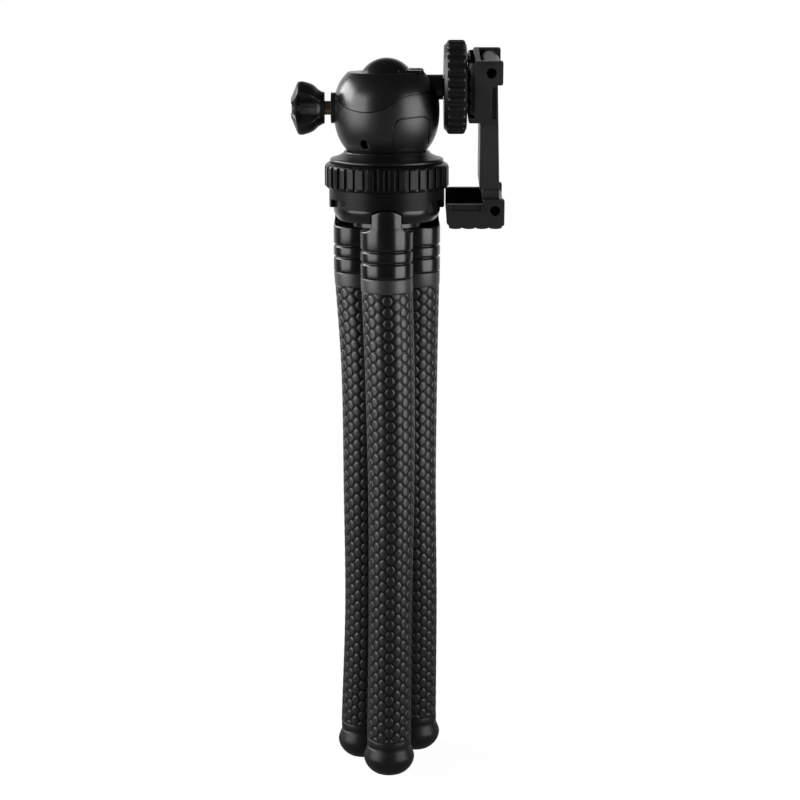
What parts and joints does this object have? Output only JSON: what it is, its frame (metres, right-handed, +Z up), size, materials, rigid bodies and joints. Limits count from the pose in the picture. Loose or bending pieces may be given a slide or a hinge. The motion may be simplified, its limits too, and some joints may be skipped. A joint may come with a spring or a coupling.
{
  "type": "flexible leg tripod",
  "caption": "Pocket tripod with bendable rubber legs, a ball head with drop notch and wing knob, and a folding phone clamp.",
  "frame": {"origin": "on the head's vertical axis, at the floor under the feet", "axes": "+Z up; +X the way the ball's stem lies in its notch, away from the wing knob; +Y away from the front leg"},
  "size_m": [0.0772, 0.0485, 0.27],
  "materials": {
    "gloss_metal": "gloss black lacquer",
    "satin_metal": "satin black lacquer",
    "ball_metal": "semi-gloss black",
    "body_plastic": "smooth black moulding",
    "knob_plastic": "fine grained black moulding",
    "clamp_plastic": "satin dark grey moulding",
    "washer": "black acetal",
    "rubber": "matte black rubber",
    "steel": "dark zinc plated",
    "bronze_screw": "dull brass",
    "core_aluminium": "soft annealed wire"
  },
  "bodies": {
    "base": {"hub_body": "gloss_metal", "hub_skirt": "body_plastic", "head_flange": "satin_metal", "friction_washer": "washer", "centre_bolt": "steel", "front_leg_cap": "gloss_metal", "front_leg_sleeve_top": "rubber", "front_leg_core_top": "core_aluminium", "left_leg_cap": "gloss_metal", "left_leg_sleeve_top": "rubber", "left_leg_core_top": "core_aluminium", "right_leg_cap": "gloss_metal", "right_leg_sleeve_top": "rubber", "right_leg_core_top": "core_aluminium"},
    "lock_ring": {"pan_lock_ring": "body_plastic"},
    "head": {"housing_lower": "satin_metal", "housing_cover": "gloss_metal", "ball_cup": "washer", "housing_set_screw": "steel"},
    "ball": {"ball_stem": "ball_metal", "camera_screw": "steel"},
    "knob": {"clamp_screw": "bronze_screw", "clamp_knob": "knob_plastic"},
    "wheel": {"lock_wheel": "knob_plastic"},
    "clamp": {"base_jaw": "clamp_plastic", "base_jaw_pad": "rubber", "base_jaw_insert": "bronze_screw", "base_jaw_pin": "steel"},
    "bar": {"bar_sleeve": "clamp_plastic", "return_springs": "steel"},
    "slider": {"slide_bar": "clamp_plastic", "far_jaw_pin": "steel"},
    "far_clamp": {"far_jaw": "clamp_plastic", "far_jaw_pad": "rubber"},
    "front_leg_upper": {"front_leg_sleeve_upper": "rubber", "front_leg_core_upper": "core_aluminium"},
    "front_leg_middle": {"front_leg_sleeve_middle": "rubber", "front_leg_core_middle": "core_aluminium"},
    "front_leg_lower": {"front_leg_sleeve_lower": "rubber", "front_leg_core_lower": "core_aluminium", "front_leg_foot": "rubber"},
    "left_leg_upper": {"left_leg_sleeve_upper": "rubber", "left_leg_core_upper": "core_aluminium"},
    "left_leg_middle": {"left_leg_sleeve_middle": "rubber", "left_leg_core_middle": "core_aluminium"},
    "left_leg_lower": {"left_leg_sleeve_lower": "rubber", "left_leg_core_lower": "core_aluminium", "left_leg_foot": "rubber"},
    "right_leg_upper": {"right_leg_sleeve_upper": "rubber", "right_leg_core_upper": "core_aluminium"},
    "right_leg_middle": {"right_leg_sleeve_middle": "rubber", "right_leg_core_middle": "core_aluminium"},
    "right_leg_lower": {"right_leg_sleeve_lower": "rubber", "right_leg_core_lower": "core_aluminium", "right_leg_foot": "rubber"}
  },
  "joints": [
    {"name": "pan_lock_turn", "type": "hinge", "parent": "base", "child": "lock_ring", "pos_m": [0, 0, 0.221], "axis": [0, 0, 1], "range_deg": [-30, 30]},
    {"name": "head_pan", "type": "hinge", "parent": "base", "child": "head", "pos_m": [0, 0, 0.235], "axis": [0, 0, 1], "continuous": true},
    {"name": "ball_tilt", "type": "hinge", "parent": "head", "child": "ball", "pos_m": [0, 0, 0.2532], "axis": [0, -1, 0], "range_deg": [0, 115]},
    {"name": "knob_turn", "type": "hinge", "parent": "head", "child": "knob", "pos_m": [-0.028, 0, 0.2458], "axis": [1, 0, 0], "range_deg": [-180, 180]},
    {"name": "lock_wheel_turn", "type": "hinge", "parent": "ball", "child": "wheel", "pos_m": [0.0245, 0, 0.2532], "axis": [1, 0, 0], "continuous": true},
    {"name": "clamp_swivel", "type": "hinge", "parent": "ball", "child": "clamp", "pos_m": [0.031, 0, 0.2532], "axis": [1, 0, 0], "continuous": true},
    {"name": "bar_fold", "type": "hinge", "parent": "clamp", "child": "bar", "pos_m": [0.037, -0.00106, 0.26073], "axis": [0, -0.9903, -0.1392], "range_deg": [0, 90]},
    {"name": "bar_extend", "type": "slide", "parent": "bar", "child": "slider", "axis": [0, 0.1392, -0.9903], "range_m": [0, 0.028], "stiffness_N_per_m": 120, "springref_m": -0.025, "deforming": ["return_springs"]},
    {"name": "far_jaw_fold", "type": "hinge", "parent": "slider", "child": "far_clamp", "pos_m": [0.0389, 0.00589, 0.21131], "axis": [0, 0.9903, 0.1392], "range_deg": [0, 75]},
    {"name": "front_leg_bend_upper", "type": "hinge", "parent": "base", "child": "front_leg_upper", "pos_m": [0.0011, -0.0125, 0.15], "axis": [-1, 0, 0], "range_deg": [0, 45], "deforming": ["front_leg_sleeve_upper", "front_leg_core_upper"]},
    {"name": "front_leg_bend_middle", "type": "hinge", "parent": "front_leg_upper", "child": "front_leg_middle", "pos_m": [0.00155, -0.0124, 0.105], "axis": [-1, 0, 0], "range_deg": [0, 45], "deforming": ["front_leg_sleeve_middle", "front_leg_core_middle"]},
    {"name": "front_leg_bend_lower", "type": "hinge", "parent": "front_leg_middle", "child": "front_leg_lower", "pos_m": [0.00115, -0.0122, 0.06], "axis": [-1, 0, 0], "range_deg": [0, 45], "deforming": ["front_leg_sleeve_lower", "front_leg_core_lower"]},
    {"name": "left_leg_bend_upper", "type": "hinge", "parent": "base", "child": "left_leg_upper", "pos_m": [-0.0079, 0.0042, 0.15], "axis": [0.5, 0.866, 0], "range_deg": [0, 45], "deforming": ["left_leg_sleeve_upper", "left_leg_core_upper"]},
    {"name": "left_leg_bend_middle", "type": "hinge", "parent": "left_leg_upper", "child": "left_leg_middle", "pos_m": [-0.0078, 0.0046, 0.105], "axis": [0.5, 0.866, 0], "range_deg": [0, 45], "deforming": ["left_leg_sleeve_middle", "left_leg_core_middle"]},
    {"name": "left_leg_bend_lower", "type": "hinge", "parent": "left_leg_middle", "child": "left_leg_lower", "pos_m": [-0.0079, 0.006, 0.06], "axis": [0.5, 0.866, 0], "range_deg": [0, 45], "deforming": ["left_leg_sleeve_lower", "left_leg_core_lower"]},
    {"name": "right_leg_bend_upper", "type": "hinge", "parent": "base", "child": "right_leg_upper", "pos_m": [0.0097, 0.0094, 0.15], "axis": [0.5, -0.866, 0], "range_deg": [0, 45], "deforming": ["right_leg_sleeve_upper", "right_leg_core_upper"]},
    {"name": "right_leg_bend_middle", "type": "hinge", "parent": "right_leg_upper", "child": "right_leg_middle", "pos_m": [0.00984, 0.011, 0.105], "axis": [0.5, -0.866, 0], "range_deg": [0, 45], "deforming": ["right_leg_sleeve_middle", "right_leg_core_middle"]},
    {"name": "right_leg_bend_lower", "type": "hinge", "parent": "right_leg_middle", "child": "right_leg_lower", "pos_m": [0.01075, 0.0135, 0.06], "axis": [0.5, -0.866, 0], "range_deg": [0, 45], "deforming": ["right_leg_sleeve_lower", "right_leg_core_lower"]}
  ]
}
